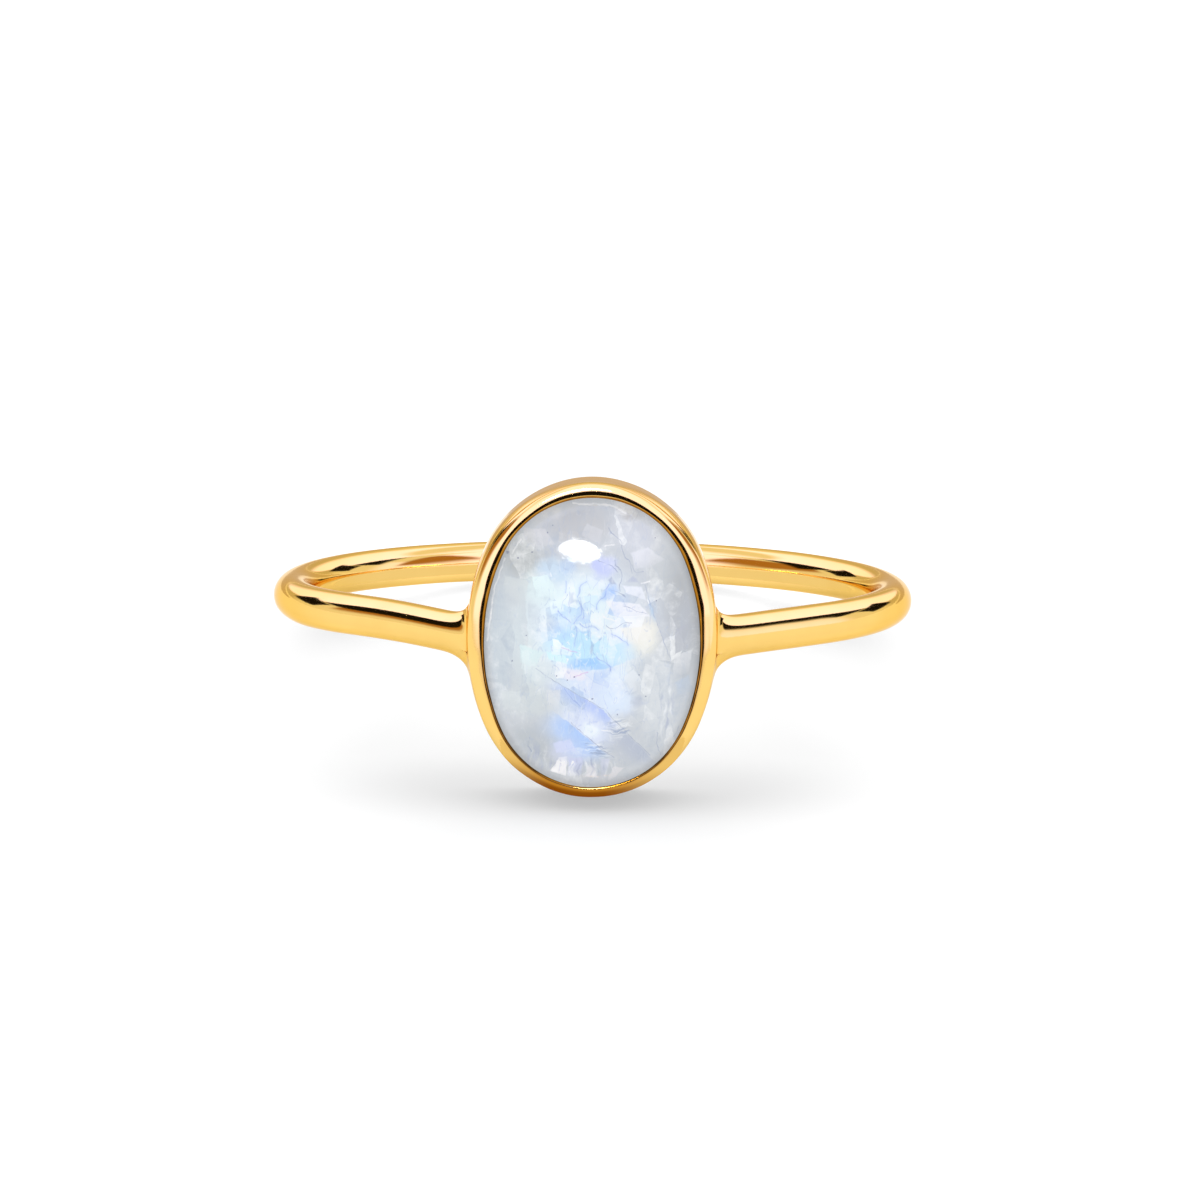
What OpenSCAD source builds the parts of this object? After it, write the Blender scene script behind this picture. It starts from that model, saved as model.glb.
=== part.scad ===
// Moonstone ring: a round-wire band soldered to an oval cup setting that holds a cabochon.
// The ring lies as it rests by itself, on the back of its band and the lower end of its
// setting, so the stone faces the front (-Y) and looks a little upward.

/* [Band] */
// Width of the ring across the outside of its band
band_outer_w = 20; // [18:0.1:24]
// Thickness of the round wire that the band is made of
wire_d = 1.26; // [1:0.02:1.5]
// Angle from the front at which the wire leaves its circle and runs straight to the setting
shoulder_angle = 48; // [46:0.5:50]

/* [Setting] */
// Width of the opening that shows the stone
opening_w = 6.5; // [6.2:0.05:6.8]
// Height of the opening that shows the stone
opening_h = 8.74; // [8.4:0.05:9.2]
// Width of the rounded rim around the opening
rim_w = 0.4; // [0.34:0.01:0.46]
// How far the rim laps over the edge of the stone
rim_lap = 0.2; // [0.16:0.01:0.24]
// Thickness of the plate that closes the back of the setting
plate_t = 0.4; // [0.3:0.05:0.6]
// Depth of the setting from its back plate to the front of its rim
setting_depth = 2.3; // [2.2:0.05:2.6]
// Distance from the centre of the band to the back of the setting
setting_back = 8.9; // [8.8:0.05:9]
// Bevel on the back edge of the setting
back_bevel = 0.12; // [0.05:0.01:0.2]
// Radius of the solder flare where the band meets the setting
flare_r = 1; // [0.85:0.05:1]
// Length of the solder flare
flare_len = 0.4; // [0.3:0.05:0.45]

/* [Stone] */
// Rise of the stone's dome from its straight edge to its top
dome_rise = 1.9; // [1.6:0.05:2.1]
// Gap between the stone and the metal around it
stone_gap = 0.03; // [0.02:0.01:0.05]

/* [Hidden] */
$fn = 96;
gold = "#e3a84f";
milk_blue = "#c9d6e6";

wire_r = wire_d / 2;
band_r = band_outer_w / 2 - wire_r;

// Half the width and height of the opening, and the oval's four arcs. The end arcs are centred
// above and below the middle and the side arcs on the far side of it. An end arc meets a side
// arc on the line through both centres, which rises 5 for every 12 across: the middle and the
// two centres make a triangle with sides of 5, 12 and 13 units.
half_w = opening_w / 2;
half_h = opening_h / 2;
joint_slope = 5 / 12;
joint_sine = 5 / 13;
unit = (half_h - half_w) / 4;
end_centre = 5 * unit;
side_centre = 12 * unit;
opening_end_r = half_h - end_centre;
opening_side_r = half_w + side_centre;
// Distance past every edge of the ring, for blocks that cut
far = 24;

rim_r = rim_w / 2;
// Overlap that lets two pieces of one solid join without a shared face
weld = 0.1;

// Where the straight end of the wire meets the side wall, seen from above
wall_x = half_w + rim_w;
entry_y = band_r / cos(shoulder_angle) - wall_x * tan(shoulder_angle);
straight_len = (band_r * sin(shoulder_angle) - half_w) / cos(shoulder_angle);
// The straight ends are a hair fuller than the bent wire, and close over its ends
full_r = wire_r + 0.01;

// The dome is round across its width and along its height, with the same rise both ways
stone_half_w = half_w + rim_lap - stone_gap;
stone_half_h = half_h + rim_lap - stone_gap;
dome_r_across = (stone_half_w^2 + dome_rise^2) / (2 * dome_rise);
dome_r_along = (stone_half_h^2 + dome_rise^2) / (2 * dome_rise);
// The stone sits as far forward as the round rim allows
rim_centre_below_top = dome_r_across
    - sqrt((dome_r_across + rim_r + stone_gap)^2 - (half_w + rim_r)^2);
stone_top = setting_depth - rim_r + rim_centre_below_top;
stone_back = plate_t + stone_gap;

// Tilt at which the back of the band and the lower back edge of the setting both touch
// the surface, and the lift that puts them on it
foot_h = half_h + rim_w;
foot_reach = band_r + setting_back + back_bevel;
rest_tilt = acos(wire_r / norm([foot_reach, foot_h])) - atan2(foot_reach, foot_h);
rest_lift = band_r * sin(rest_tilt) + wire_r;
// Middle of the resting ring from front to back
back_y = band_r * cos(rest_tilt) + wire_r;
front_y = -(setting_back + stone_top - dome_r_along) * cos(rest_tilt) - dome_r_along;
middle_y = (front_y + back_y) / 2;

// Turns and lifts the ring from its own plane to the way it rests
module at_rest() {
    translate([0, -middle_y, rest_lift])
        rotate([-rest_tilt, 0, 0])
            children();
}

// Frame of the setting: its back plate lies at z = 0 and the stone faces +z
module in_setting() {
    translate([0, -setting_back, 0])
        rotate([90, 0, 0])
            children();
}

// Oval outline that runs a distance outside the opening
module oval(outside) {
    end_r = opening_end_r + outside;
    side_r = opening_side_r + outside;
    joint_h = end_centre + end_r * joint_sine;
    intersection() {
        translate([side_centre, 0]) circle(side_r);
        translate([-side_centre, 0]) circle(side_r);
        square([2 * side_r, 2 * joint_h], center = true);
    }
    for (side = [1, -1])
        intersection() {
            translate([0, side * end_centre]) circle(end_r);
            translate([-end_r, side > 0 ? joint_h : -joint_h - end_r]) square([2 * end_r, end_r]);
        }
}

// Section of the wall where the opening's radius is opening_r: a thin wall with its back edge
// bevelled, and a round rim along its front that leans over the stone
module wall_section(opening_r) {
    inner = opening_r + rim_lap;
    outer = opening_r + rim_w;
    rim_centre = setting_depth - rim_r;
    polygon([
        [inner, 0],
        [outer - back_bevel, 0],
        [outer, back_bevel],
        [outer, rim_centre],
        [inner, rim_centre]
    ]);
    translate([opening_r + rim_r, rim_centre]) circle(rim_r);
}

// Upper end arc of the wall, cut out of a full turn by the two lines on which it meets the
// side arcs
module end_arc() {
    joint_y = end_centre + far * joint_slope;
    intersection() {
        translate([0, end_centre, 0]) rotate_extrude() wall_section(opening_end_r);
        linear_extrude(setting_depth)
            polygon([[0, end_centre], [far, joint_y], [far, far], [-far, far], [-far, joint_y]]);
    }
}

// Right side arc of the wall, cut out of a full turn by the same two lines
module side_arc() {
    joint_y = end_centre + far * joint_slope;
    intersection() {
        translate([-side_centre, 0, 0]) rotate_extrude() wall_section(opening_side_r);
        linear_extrude(setting_depth)
            polygon([[-side_centre, 0], [far, joint_y], [far, -joint_y]]);
    }
}

// Cup of the setting: two end arcs and two side arcs around a closed back plate
module cup() {
    for (turn = [0, 180])
        rotate([0, 0, turn]) {
            end_arc();
            side_arc();
        }
    linear_extrude(plate_t) oval(rim_lap + weld);
}

// Band of round wire, open at the front, with two straight ends that run to the setting
module wire_band() {
    rotate([0, 0, shoulder_angle - 90])
        rotate_extrude(angle = 360 - 2 * shoulder_angle)
            translate([band_r, 0]) circle(wire_r);
    for (side = [0, 1])
        mirror([side, 0, 0])
            rotate([0, 0, shoulder_angle - 90])
                translate([band_r, weld, 0])
                    rotate([90, 0, 0])
                        cylinder(h = weld + straight_len, r = full_r);
}

// Solder that flares from each end of the wire on to the side wall
module solder_flares() {
    for (side = [0, 1])
        mirror([side, 0, 0])
            translate([wall_x - weld, -entry_y, 0])
                rotate([0, 90, 0])
                    cylinder(h = weld + flare_len, r1 = flare_r, r2 = wire_r / 2);
}

// The band, the setting and their solder are one piece of metal. The wire and the solder end
// halfway through the thickness of the wall.
module band_and_bezel() {
    color(gold) at_rest() {
        difference() {
            union() {
                wire_band();
                solder_flares();
            }
            in_setting()
                translate([0, 0, -far / 2])
                    linear_extrude(far) oval((rim_lap + rim_w) / 2);
        }
        in_setting() cup();
    }
}

// Oval cabochon with a flat back, a straight edge and a dome
module moonstone() {
    color(milk_blue) at_rest() in_setting()
        intersection() {
            translate([0, 0, stone_back])
                linear_extrude(stone_top - stone_back + weld) oval(rim_lap - stone_gap);
            translate([0, 0, stone_top - dome_r_along])
                rotate([0, 90, 0])
                    rotate_extrude()
                        intersection() {
                            translate([dome_r_along - dome_r_across, 0]) circle(dome_r_across);
                            translate([0, -dome_r_across]) square(2 * dome_r_across);
                        }
        }
}

band_and_bezel();
moonstone();
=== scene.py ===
"""Moonstone ring: an oval cabochon in a polished gold cup setting, soldered to a round-wire band.

Lengths are in millimetres while a piece is being made. The ring frame has its origin in the middle
of the band, with the setting at the front (-Y). The setting frame has its origin in the middle of
the setting's back plate: x runs across the stone, y up along it, and z out towards the viewer.
"""
import math

import bmesh
import bpy
from mathutils import Matrix, Vector, noise


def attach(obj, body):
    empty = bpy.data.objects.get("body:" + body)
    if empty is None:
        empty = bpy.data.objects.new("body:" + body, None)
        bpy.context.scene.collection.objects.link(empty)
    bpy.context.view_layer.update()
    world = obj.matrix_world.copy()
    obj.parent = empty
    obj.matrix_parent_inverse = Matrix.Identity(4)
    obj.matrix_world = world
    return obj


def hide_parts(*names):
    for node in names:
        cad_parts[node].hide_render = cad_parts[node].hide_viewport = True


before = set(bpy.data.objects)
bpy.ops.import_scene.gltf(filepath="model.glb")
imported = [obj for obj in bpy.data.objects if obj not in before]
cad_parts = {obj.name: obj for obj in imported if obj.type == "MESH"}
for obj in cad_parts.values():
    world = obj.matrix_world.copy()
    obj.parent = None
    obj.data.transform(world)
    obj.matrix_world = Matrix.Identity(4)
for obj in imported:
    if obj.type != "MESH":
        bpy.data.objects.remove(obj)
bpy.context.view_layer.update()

# Band
WIRE_RADIUS = 0.63
BAND_RADIUS = 9.37
SHOULDER_ANGLE = math.radians(48)
WIRE_SIDES = 24
BAND_STEPS = 66

# Opening of the setting: an oval of four arcs
HALF_WIDTH = 3.25
HALF_HEIGHT = 4.37
END_CENTRE = 1.4
SIDE_CENTRE = 3.36
JOINT_SINE = 5 / 13
JOINT_TURN = math.asin(JOINT_SINE)
END_RADIUS = HALF_HEIGHT - END_CENTRE
SIDE_RADIUS = HALF_WIDTH + SIDE_CENTRE
COLUMNS = 80
SOLDER_COLUMNS = 8
STONE_COLUMNS = 400

# Setting and stone, in the setting frame
SETTING_BACK = 8.9
WALL_OUT = 0.4
PLATE = 0.4
STONE_OUT = 0.17
STONE_BACK = 0.43
STONE_TOP = 3.632
DOME_ACROSS = 4.028
DOME_ALONG = 6.374
DOME_SHOULDER = 0.13

# Rest on the floor
REST_TILT = math.radians(12.6406)
REST_LIFT = 2.6805
REST_SHIFT = 1.3051

FLOOR_FRAME = Matrix.Translation((0, REST_SHIFT, REST_LIFT)) @ Matrix.Rotation(-REST_TILT, 4, "X")
TO_FLOOR = Matrix.Scale(0.001, 4) @ FLOOR_FRAME
TO_SETTING = Matrix.Translation((0, -SETTING_BACK, 0)) @ Matrix.Rotation(math.radians(90), 4, "X")

# Camera, from the outline of the band in the photograph
CAMERA_RISE = math.radians(19.84)
CAMERA_ROLL = math.radians(0.6)
CAMERA_DISTANCE = 300
CAMERA_ASIDE = 0.229
CAMERA_DROP = 0.125
LENS = 287.1
SENSOR = 36
PIXELS = 1200

# Directions in the studio. The roof is round, and so is the dark patch where the camera stands.
ROOF_RISE = math.radians(48)
ROOF_SIZE = math.radians(48)
ROOF_EDGE = math.radians(49.5)
CAMERA_PATCH = math.radians(18)
CAMERA_PATCH_EDGE = math.radians(20)

# Lamp: how high and how far to the right it stands, its lean, and half its size as tangents
LAMP_RISE = math.radians(54.6)
LAMP_TURN = math.radians(-17.5)
LAMP_LEAN = math.radians(6)
LAMP_HALF_WIDTH = 0.295
LAMP_HALF_HEIGHT = 0.112

# Colours that the metal mirrors
TENT_WHITE = (0.93, 0.93, 0.93)
TENT_LOW_BACK = (0.68, 0.64, 0.58)
PANEL_WHITE = (1.5, 1.47, 2.85)
CURTAIN_BROWN = (0.44, 0.21, 0.05)
GAP_DARK = (0.01, 0.008, 0.006)
LAMP_LIGHT = (36, 36, 36)
CARD_WHITE = (0.9, 0.85, 0.75)
CARD_BROWN = (0.55, 0.33, 0.09)
CARD_DARK_BROWN = (0.27, 0.112, 0.015)

# Colours of the gold: clean, in the faint haze, painted shade under the lip and in the crease,
# the deepest painted shade in the crease, and at a grazing look
GOLD = (0.955, 0.64, 0.2)
GOLD_HAZY = (0.935, 0.615, 0.185)
GOLD_PAINTED_SHADE = (0.42, 0.17, 0.012)
GOLD_PAINTED_DEEP_SHADE = (0.03, 0.01, 0.003)
GOLD_GRAZING = (0.93, 0.76, 0.45, 1)

# How much of the light the table throws back, and how much it glows by itself
TABLE_WHITE = 0.53
TABLE_GLOW = 0.457


def camera_axes():
    """Right, up and forward directions of the camera."""
    forward = Vector((0, math.cos(CAMERA_RISE), -math.sin(CAMERA_RISE)))
    level = Vector((1, 0, 0))
    up = level.cross(forward)
    right = level * math.cos(CAMERA_ROLL) + up * math.sin(CAMERA_ROLL)
    return right, right.cross(forward), forward


def camera_place():
    """Where the camera stands, in millimetres above the floor."""
    right, up, forward = camera_axes()
    middle = Vector((0, REST_SHIFT, REST_LIFT))
    return middle - forward * CAMERA_DISTANCE + right * CAMERA_ASIDE - up * CAMERA_DROP


def set_camera():
    """Adds the camera and shows colours as they are."""
    right, up, forward = camera_axes()
    data = bpy.data.cameras.new("camera")
    data.lens = LENS
    data.sensor_width = SENSOR
    data.clip_start = 0.01
    data.clip_end = 20
    camera = bpy.data.objects.new("camera", data)
    turn = Matrix((right, up, -forward)).transposed().to_4x4()
    camera.matrix_world = Matrix.Translation(camera_place() * 0.001) @ turn
    scene = bpy.context.scene
    scene.collection.objects.link(camera)
    scene.camera = camera
    scene.view_settings.view_transform = "Standard"
    # The tent's soft light washes out the coloured light that gold throws on a table
    scene.cycles.caustics_reflective = False


class Signal:
    """One output of a node. Working with it as a number adds a Math node."""

    def __init__(self, recipe, socket):
        self.recipe = recipe
        self.socket = socket

    def __add__(self, other):
        return self.recipe.number("ADD", self, other)

    def __sub__(self, other):
        return self.recipe.number("SUBTRACT", self, other)

    def __rsub__(self, other):
        return self.recipe.number("SUBTRACT", other, self)

    def __mul__(self, other):
        return self.recipe.number("MULTIPLY", self, other)

    def __truediv__(self, other):
        return self.recipe.number("DIVIDE", self, other)

    def __pow__(self, other):
        return self.recipe.number("POWER", self, other)

    __radd__ = __add__
    __rmul__ = __mul__

    def feed(self, name, value):
        """Feeds another input of the node that this signal comes from."""
        made = self.socket.node
        if isinstance(value, Signal):
            self.recipe.tree.links.new(value.socket, made.inputs[name])
        else:
            made.inputs[name].default_value = value

    def held(self):
        """Kept between 0 and 1."""
        return self.recipe.node("ShaderNodeClamp", None, {"Value": self})

    def size(self):
        return self.recipe.number("ABSOLUTE", self)

    def most(self, other):
        return self.recipe.number("MAXIMUM", self, other)

    def least(self, other):
        return self.recipe.number("MINIMUM", self, other)

    def rise(self, start, end, top=1.0):
        """0 before start, top after end and smooth between them. Start may be the larger."""
        limits = {"Value": self, "From Min": start, "From Max": end, "To Max": top}
        return self.recipe.node("ShaderNodeMapRange", {"interpolation_type": "SMOOTHSTEP"}, limits)


class Recipe:
    """Builds the nodes of one material or of the studio's light."""

    def __init__(self, tree):
        self.tree = tree
        tree.nodes.clear()

    def node(self, kind, settings=None, inputs=None, output=0):
        """Adds a node, sets it up, feeds its sockets and gives one of its outputs."""
        made = self.tree.nodes.new(kind)
        for name, value in (settings or {}).items():
            setattr(made, name, value)
        for name, value in (inputs or {}).items():
            if isinstance(value, Signal):
                self.tree.links.new(value.socket, made.inputs[name])
            else:
                made.inputs[name].default_value = value
        return Signal(self, made.outputs[output]) if made.outputs else None

    def number(self, operation, *values):
        return self.node("ShaderNodeMath", {"operation": operation}, dict(enumerate(values)))

    def vector(self, operation, *values, output=0):
        inputs = dict(enumerate(values))
        return self.node("ShaderNodeVectorMath", {"operation": operation}, inputs, output)

    def along(self, place, direction):
        return self.vector("DOT_PRODUCT", place, direction, output="Value")

    def split(self, place):
        first = self.node("ShaderNodeSeparateXYZ", None, {0: place})
        return [Signal(self, socket) for socket in first.socket.node.outputs]

    def blend(self, amount, first, second, way="MIX"):
        """Colour between first and second. A colour is three numbers or a Signal."""
        first, second = [c if isinstance(c, Signal) else (*c, 1) for c in (first, second)]
        settings = {"data_type": "RGBA", "blend_type": way}
        return self.node("ShaderNodeMix", settings, {0: amount, 6: first, 7: second}, 2)

    def noise(self, place, scale, detail=2.0, rough=0.5, output=0):
        inputs = {"Vector": place, "Scale": scale, "Detail": detail, "Roughness": rough}
        return self.node("ShaderNodeTexNoise", None, inputs, output)

    def off_middle(self, place, middle, half_size, lean=0.0):
        """How far a point is from the middle of an oval, as a share: 1 on the oval's outline."""
        inside = self.node("ShaderNodeMapping", {"vector_type": "TEXTURE"}, {
            "Vector": place, "Location": middle, "Rotation": (0, 0, lean), "Scale": half_size})
        return self.vector("LENGTH", inside, output="Value")


def white_panels(make, way, off_roof):
    """Where the tent shows its roof, its front wall and a weaker panel on the right."""
    x, y, z = make.split(way)
    across = x.size()

    # The roof leans over the back, and is bright round its edge and straight overhead
    roof = off_roof.rise(ROOF_EDGE, ROOF_SIZE) * (across + z.rise(0.5, 0.9)).rise(0.15, 0.3)
    roof = roof * (1 - z.rise(0.62, 0.7) * z.rise(0.94, 0.85) * y.rise(0.1, 0.4))

    # The front wall is weaker low down, but not at its sides
    front = z.rise(-0.01, 0.03) * y.rise(0.12, -0.05) * (0.15 + 0.85 * z.rise(0.05, 0.3))
    sides = z.rise(0.0, 0.12) * y.rise(-0.25, -0.5)
    sides = sides * across.rise(0.15, 0.25) * across.rise(0.95, 0.75)
    front = (front * across.rise(0.92, 0.75)).most(0.95 * sides)

    right = z.rise(-0.02, 0.01) * z.rise(0.45, 0.35) * x.rise(0.6, 0.7) * y.rise(0.4, 0.15)
    return roof.most(front).most(0.6 * right)


def brown_curtain(make, way, off_roof):
    """Where a curtain hangs on both sides between the roof and the front wall."""
    x, y, z = make.split(way)
    curtain = off_roof.rise(math.radians(54), math.radians(61))
    curtain = curtain * off_roof.rise(math.radians(102), math.radians(80))
    return curtain * x.size().rise(0.66, 0.74) * (y + 0.2 * x).rise(0.3, 0.2) * z.rise(0.1, 0.25)


def dark_parts(make, way, off_roof):
    """The gap outside the roof's edge, the two stands that hold the roof, and the camera."""
    x, y, z = make.split(way)
    gap = off_roof.rise(ROOF_SIZE, ROOF_EDGE) * z.rise(0.28, 0.31)
    gap = gap * (y - 0.058 * x).rise(0.2, 0.3)
    stands = (x.size() - 0.68).size().rise(0.14, 0.12) * (z - 0.18).size().rise(0.11, 0.09)
    stands = stands * y.rise(0.3, 0.4)
    _, _, forward = camera_axes()
    camera = make.along(way, tuple(-forward))
    camera = camera.rise(math.cos(CAMERA_PATCH_EDGE), math.cos(CAMERA_PATCH))
    return gap.most(stands).most(camera)


def small_lamp(make, way):
    """The oval lamp that makes the highlight on the stone. Its lower edge is ragged."""
    level = Vector((math.cos(LAMP_TURN), math.sin(LAMP_TURN), 0))
    level_way = Vector((math.sin(LAMP_TURN), -math.cos(LAMP_TURN), 0))
    lamp_way = level_way * math.cos(LAMP_RISE) + Vector((0, 0, math.sin(LAMP_RISE)))
    side = level * math.cos(LAMP_LEAN) - level.cross(lamp_way) * math.sin(LAMP_LEAN)
    down = side.cross(lamp_way)
    ahead = make.along(way, tuple(lamp_way))
    wide = make.along(way, tuple(side)) / ahead / LAMP_HALF_WIDTH
    tall = make.along(way, tuple(down)) / ahead / LAMP_HALF_HEIGHT
    ragged = make.noise(way, 40.0, 3.0) * 0.6 * tall.rise(-0.2, 0.6)
    from_middle = (wide * wide + tall * tall) ** 0.5 + ragged
    return from_middle.rise(1.1, 1.02) * ahead.rise(0.5, 0.6)


def light_studio():
    """A white tent. Soft even light falls on the table. Polished metal mirrors the tent's white
    panels, brown curtain and dark gaps, the camera and a small lamp."""
    world = bpy.data.worlds.new("white_tent")
    world.use_nodes = True
    world.cycles.sampling_method = "NONE"
    bpy.context.scene.world = world
    make = Recipe(world.node_tree)
    way = make.node("ShaderNodeTexCoord", output="Generated")
    _, y, z = make.split(way)
    roof_way = (0, math.cos(ROOF_RISE), math.sin(ROOF_RISE))
    off_roof = make.number("ARCCOSINE", make.along(way, roof_way))

    low_back = y.rise(0.72, 0.84) * z.rise(0.5, 0.05)
    tone = make.blend(low_back, TENT_WHITE, TENT_LOW_BACK)
    tone = make.blend(white_panels(make, way, off_roof), tone, PANEL_WHITE)
    tone = make.blend(brown_curtain(make, way, off_roof), tone, CURTAIN_BROWN)
    tone = make.blend(dark_parts(make, way, off_roof), tone, GAP_DARK)
    tone = make.blend(small_lamp(make, way), tone, LAMP_LIGHT)

    # What lights the table: most from behind, and from a long bank overhead
    bank = (y / z).size().rise(1.5, 0.3) * z.rise(0.1, 0.3)
    even = (0.5 + y.rise(-0.8, 0.8)) * (1 + 0.35 * bank)
    mirror_ray = make.node("ShaderNodeLightPath", output="Is Glossy Ray")
    light = make.blend(mirror_ray, even, tone)
    background = make.node("ShaderNodeBackground", None, {"Color": light})
    make.node("ShaderNodeOutputWorld", None, {"Surface": background})


def glowing_paper(name, base, glow, paint):
    """Plain paper that also glows. Nothing samples it as a lamp, which keeps the render quick."""
    material = bpy.data.materials.new(name)
    material.use_nodes = True
    material.cycles.emission_sampling = "NONE"
    make = Recipe(material.node_tree)
    shader = make.node("ShaderNodeBsdfPrincipled", None, {
        "Base Color": (base, base, base, 1), "Roughness": 0.9, "Specular IOR Level": 0.0,
        "Emission Color": paint(make), "Emission Strength": glow})
    make.node("ShaderNodeOutputMaterial", None, {"Surface": shader})
    return material


def paint_floor(make):
    """Plain white, with painted light inside the band and beside both of its sides over the band's
    shadow, and painted shadow on both sides of the setting's foot."""
    place = make.node("ShaderNodeTexCoord", output="Object")
    # Painted light inside and beside the band
    inside = make.off_middle(place, (0, 0.0106, 0), (0.0115, 0.0064, 1))
    tone = make.blend(inside.rise(1.0, 0.5), (1, 1, 1), (1.7, 1.7, 1.7))
    four_ways = make.vector("ABSOLUTE", place)
    beside = make.off_middle(four_ways, (0.0098, 0.0015, 0), (0.0045, 0.006, 1))
    tone = make.blend(beside.rise(1.0, 0.2), tone, (1.2, 1.2, 1.2))
    # Painted shadow on both sides of the setting's foot
    x, y, _ = make.split(place)
    both_sides = make.node("ShaderNodeCombineXYZ", None, {"X": x.size(), "Y": y})
    foot = make.off_middle(both_sides, (0.0047, -0.0086, 0), (0.0054, 0.0032, 1))
    return make.blend(foot.rise(1.0, 0.0), tone, (0.77, 0.77, 0.77))


def add_object(bm, name, material):
    """Turns a bmesh into an object with a material."""
    mesh = bpy.data.meshes.new(name)
    bm.to_mesh(mesh)
    bm.free()
    mesh.materials.append(material)
    made = bpy.data.objects.new(name, mesh)
    bpy.context.scene.collection.objects.link(made)
    return made


def lay_floor():
    """A wide white table."""
    bm = bmesh.new()
    bmesh.ops.create_grid(bm, x_segments=1, y_segments=1, size=3)
    paper = glowing_paper("white_floor", TABLE_WHITE, TABLE_GLOW, paint_floor)
    add_object(bm, "floor", paper)


def lay_card(name, middle, half_width, half_depth, paint):
    """An oval card on the table, seen only as polished metal mirrors it. Lengths are in metres."""
    bm = bmesh.new()
    bmesh.ops.create_circle(bm, cap_ends=True, radius=1, segments=64)
    bmesh.ops.scale(bm, vec=(half_width, half_depth, 1), verts=bm.verts)
    bmesh.ops.translate(bm, vec=(0, middle, 0.00005), verts=bm.verts)
    card = add_object(bm, name, glowing_paper(name, 0.0, 1.0, paint))
    card.visible_camera = False
    card.visible_diffuse = False
    card.visible_shadow = False


def paint_front(make):
    """Brown in the middle and darkest under the setting, as painted shadow, and white to both
    sides.
    """
    x, y, _ = make.split(make.node("ShaderNodeTexCoord", output="Object"))
    tone = make.blend(y.rise(-0.0122, -0.0108), CARD_BROWN, CARD_DARK_BROWN)
    return make.blend((x + 0.0005).size().rise(0.0008, 0.0042), tone, CARD_WHITE)


def lay_cards():
    """Cards in front of the ring, inside its band and behind it."""
    lay_card("front_card", -0.026, 0.008, 0.019, paint_front)
    # The front card's brown is painted shadow, and the inner card's white painted light
    lay_card("inner_card", 0.0013, 0.0082, 0.0082, lambda make: (0.95, 0.95, 0.95, 1))
    lay_card("back_card", 0.16, 0.08, 0.135, lambda make: (0.7, 0.62, 0.55, 1))


def oval(turn, out):
    """Point of the oval that lies out outside the opening, where the oval faces turn."""
    facing = Vector((math.cos(turn), math.sin(turn), 0))
    if abs(facing.y) > JOINT_SINE:
        return Vector((0, math.copysign(END_CENTRE, facing.y), 0)) + facing * (END_RADIUS + out)
    return Vector((-math.copysign(SIDE_CENTRE, facing.x), 0, 0)) + facing * (SIDE_RADIUS + out)


def turn_at(share):
    """Direction that the oval faces at a share of the way round it, from its right side."""
    side_length = (SIDE_RADIUS + WALL_OUT) * JOINT_TURN
    end_length = (END_RADIUS + WALL_OUT) * (math.pi / 2 - JOINT_TURN)
    quarter, rest = divmod(share * 4, 1)
    if quarter % 2:
        rest = 1 - rest
    along = rest * (side_length + end_length)
    if along < side_length:
        turn = along / (SIDE_RADIUS + WALL_OUT)
    else:
        turn = JOINT_TURN + (along - side_length) / (END_RADIUS + WALL_OUT)
    if quarter % 2:
        turn = math.pi - turn
    return turn + (math.pi if quarter >= 2 else 0)


def dome(x, y):
    """Height of the stone's dome in the setting frame. Its shoulders are a little full."""
    across = DOME_ACROSS - math.sqrt(DOME_ACROSS**2 - x * x)
    toward_edge = (x / (HALF_WIDTH + STONE_OUT)) ** 2 + (y / (HALF_HEIGHT + STONE_OUT)) ** 2
    shoulder = DOME_SHOULDER * toward_edge**2
    return STONE_TOP - DOME_ALONG + math.sqrt((DOME_ALONG - across) ** 2 - y * y) + shoulder


def loop_of(bm, columns):
    """A closed loop of vertices with the edges between them, in the same order each run."""
    made = bmesh.ops.create_circle(bm, cap_ends=False, radius=1, segments=columns)["verts"]
    return made, list(dict.fromkeys(edge for vert in made for edge in vert.link_edges))


def extrude_loop(bm, edges):
    """Extrudes a closed loop on the spot and gives the new loop's vertices and edges."""
    made = bmesh.ops.extrude_edge_only(bm, edges=edges)["geom"]
    verts = [part for part in made if isinstance(part, bmesh.types.BMVert)]
    inside = set(verts)
    made = [part for part in made if isinstance(part, bmesh.types.BMEdge)]
    return verts, [edge for edge in made if inside.issuperset(edge.verts)]


def settle_order(bm):
    """Sorts edges and faces by their vertices. Extruding adds them in another order each run."""
    bm.verts.index_update()
    for parts in (bm.edges, bm.faces):
        order = sorted(parts, key=lambda part: sorted(vert.index for vert in part.verts))
        for index, part in enumerate(order):
            part.index = index
        parts.sort()


def finish_piece(bm, name, node, material, levels):
    """Turns a bmesh into a piece that rides on the ring and stands for a CAD node."""
    bmesh.ops.transform(bm, matrix=TO_FLOOR, verts=bm.verts)
    bmesh.ops.recalc_face_normals(bm, faces=bm.faces)
    settle_order(bm)
    piece = add_object(bm, name, material)
    piece.data.shade_smooth()
    if levels:
        smooth = piece.modifiers.new("smooth", "SUBSURF")
        smooth.levels = levels
        smooth.render_levels = levels
    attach(piece, "root")
    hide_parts(node)


def upper_share(turn):
    """1 over the upper half of the setting, 0 over its lower half and smooth between."""
    share = min(1.0, max(0.0, 0.5 + 2.0 * math.sin(turn)))
    return share * share * (3 - 2 * share)


def rim_out(turn):
    """Width of the rim, which is pressed narrower at the upper corners and fuller at the sides."""
    above = 0.41 + 0.05 * math.cos(4 * turn)
    below = 0.4
    return below + (above - below) * upper_share(turn) + 0.1 * math.cos(turn) ** 4


def wall_out(turn):
    """How far the wall stands outside the opening: fuller at the sides, where solder has run."""
    up = math.sin(turn)
    return 0.375 + 0.045 * up + 0.18 * math.cos(turn) ** 4


def lip_out(turn):
    """The lip laps a little less over the bottom of the stone."""
    return 0.02 + 0.055 * max(0.0, -math.sin(turn)) ** 1.5


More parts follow.
